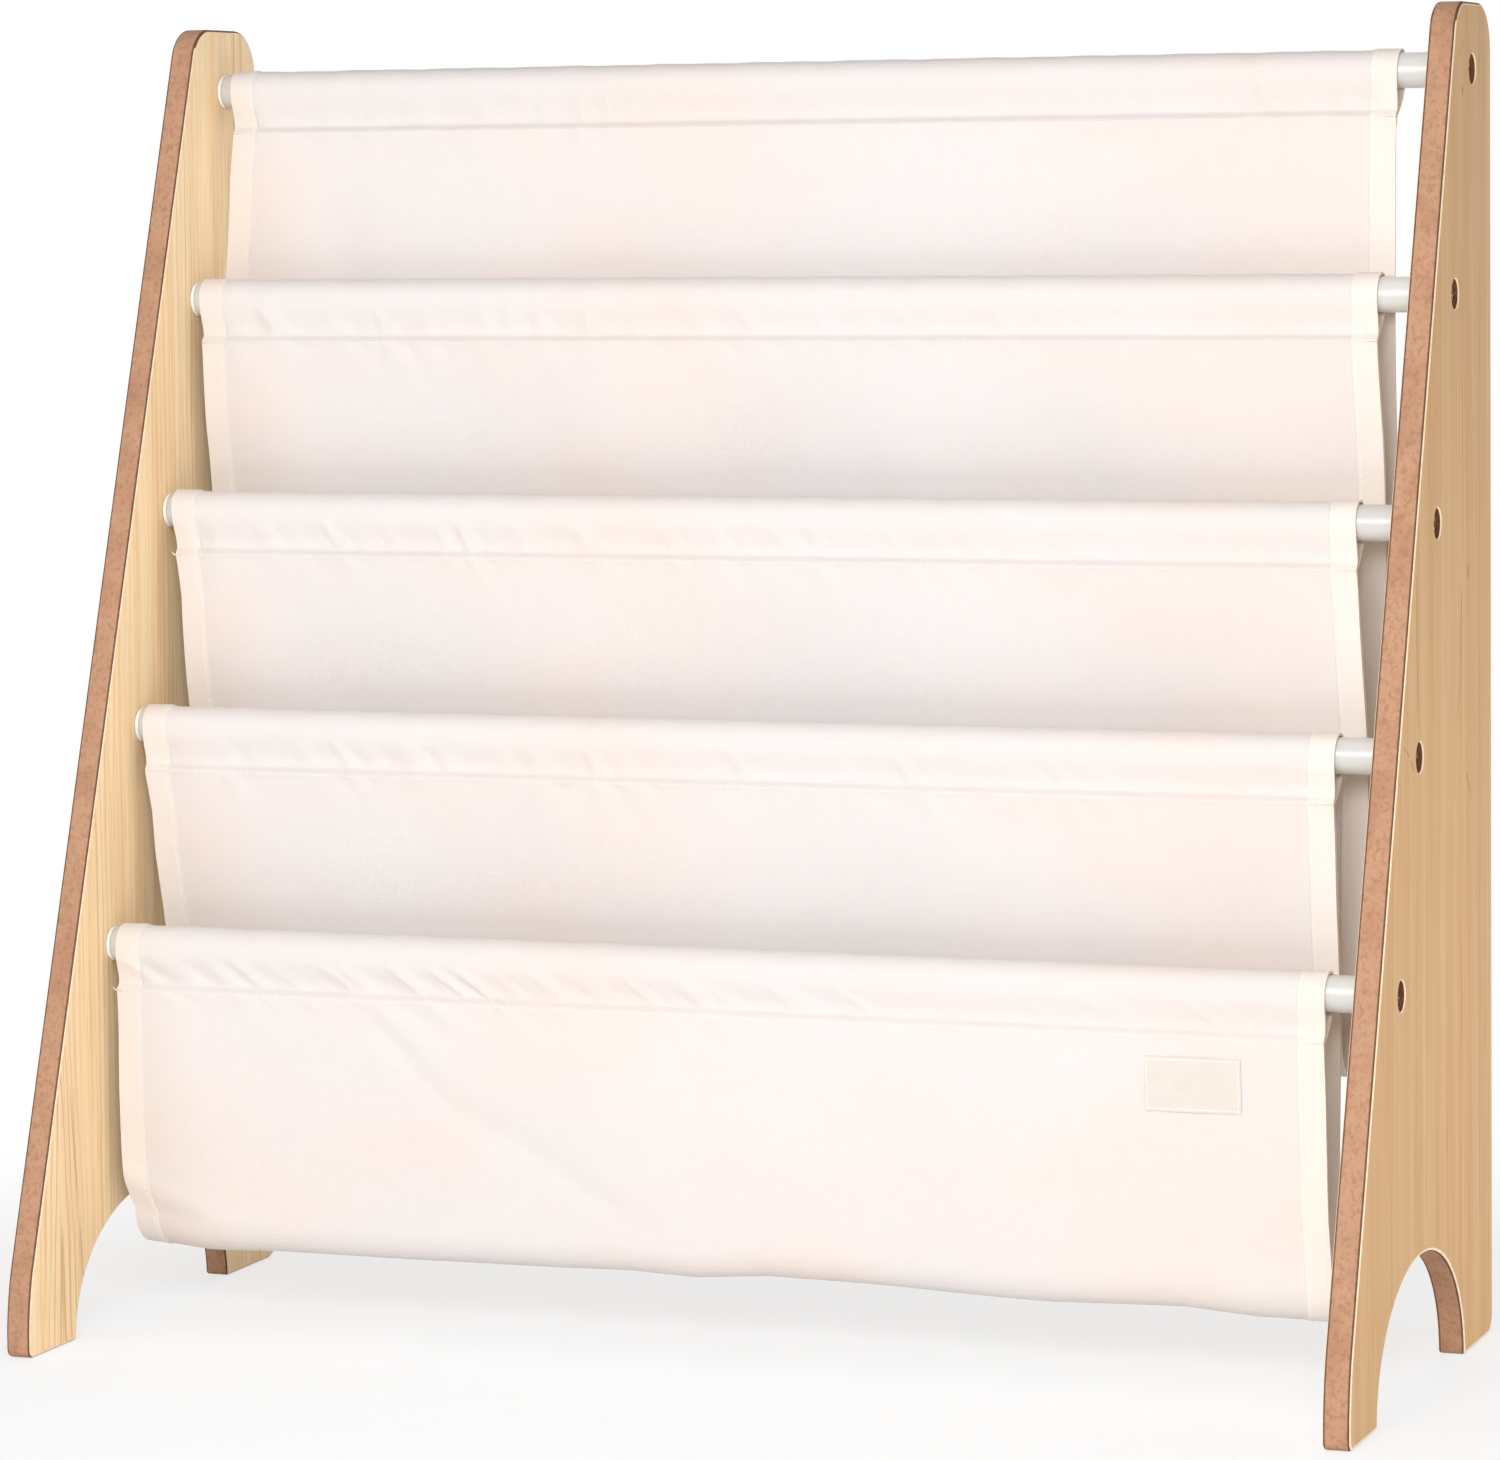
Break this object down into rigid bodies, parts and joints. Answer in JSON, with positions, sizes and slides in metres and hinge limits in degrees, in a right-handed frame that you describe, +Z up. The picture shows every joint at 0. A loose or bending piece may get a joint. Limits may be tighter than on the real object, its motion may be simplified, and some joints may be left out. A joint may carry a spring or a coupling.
{
  "type": "sling bookshelf",
  "caption": "Free-standing child's book rack: sloping side panels joined by round rods that carry a sewn cloth sling with forward-facing book pockets.",
  "frame": {"origin": "on the floor, under the middle of the rack's bounding box", "axes": "+X across the rack to the right as seen from the front, +Y from the front to the rear, +Z up; the rods run along X"},
  "size_m": [0.622, 0.258, 0.6],
  "materials": {
    "panel_board": "pale maple-look face with fine upright grain, bare brown cut edges",
    "rod_coating": "satin white",
    "plug_plastic": "white moulded",
    "screw_plating": "dark bronze plating",
    "sling_cloth": "fine plain weave, warm white, matt",
    "label_cloth": "cream woven tape, bare"
  },
  "bodies": {
    "root": {"side_panel_left": "panel_board", "side_panel_right": "panel_board", "rod_1": "rod_coating", "rod_2": "rod_coating", "rod_3": "rod_coating", "rod_4": "rod_coating", "rod_5": "rod_coating", "end_plug_1_left": "plug_plastic", "end_plug_1_right": "plug_plastic", "end_plug_2_left": "plug_plastic", "end_plug_2_right": "plug_plastic", "end_plug_3_left": "plug_plastic", "end_plug_3_right": "plug_plastic", "end_plug_4_left": "plug_plastic", "end_plug_4_right": "plug_plastic", "end_plug_5_left": "plug_plastic", "end_plug_5_right": "plug_plastic", "screw_1_left": "screw_plating", "screw_1_right": "screw_plating", "screw_2_left": "screw_plating", "screw_2_right": "screw_plating", "screw_3_left": "screw_plating", "screw_3_right": "screw_plating", "screw_4_left": "screw_plating", "screw_4_right": "screw_plating", "screw_5_left": "screw_plating", "screw_5_right": "screw_plating", "sleeve_1": "sling_cloth", "sleeve_2": "sling_cloth", "sleeve_3": "sling_cloth", "sleeve_4": "sling_cloth", "sleeve_5": "sling_cloth", "pocket_1": "sling_cloth", "pocket_2": "sling_cloth", "pocket_3": "sling_cloth", "pocket_4": "sling_cloth", "label": "label_cloth"}
  },
  "joints": []
}
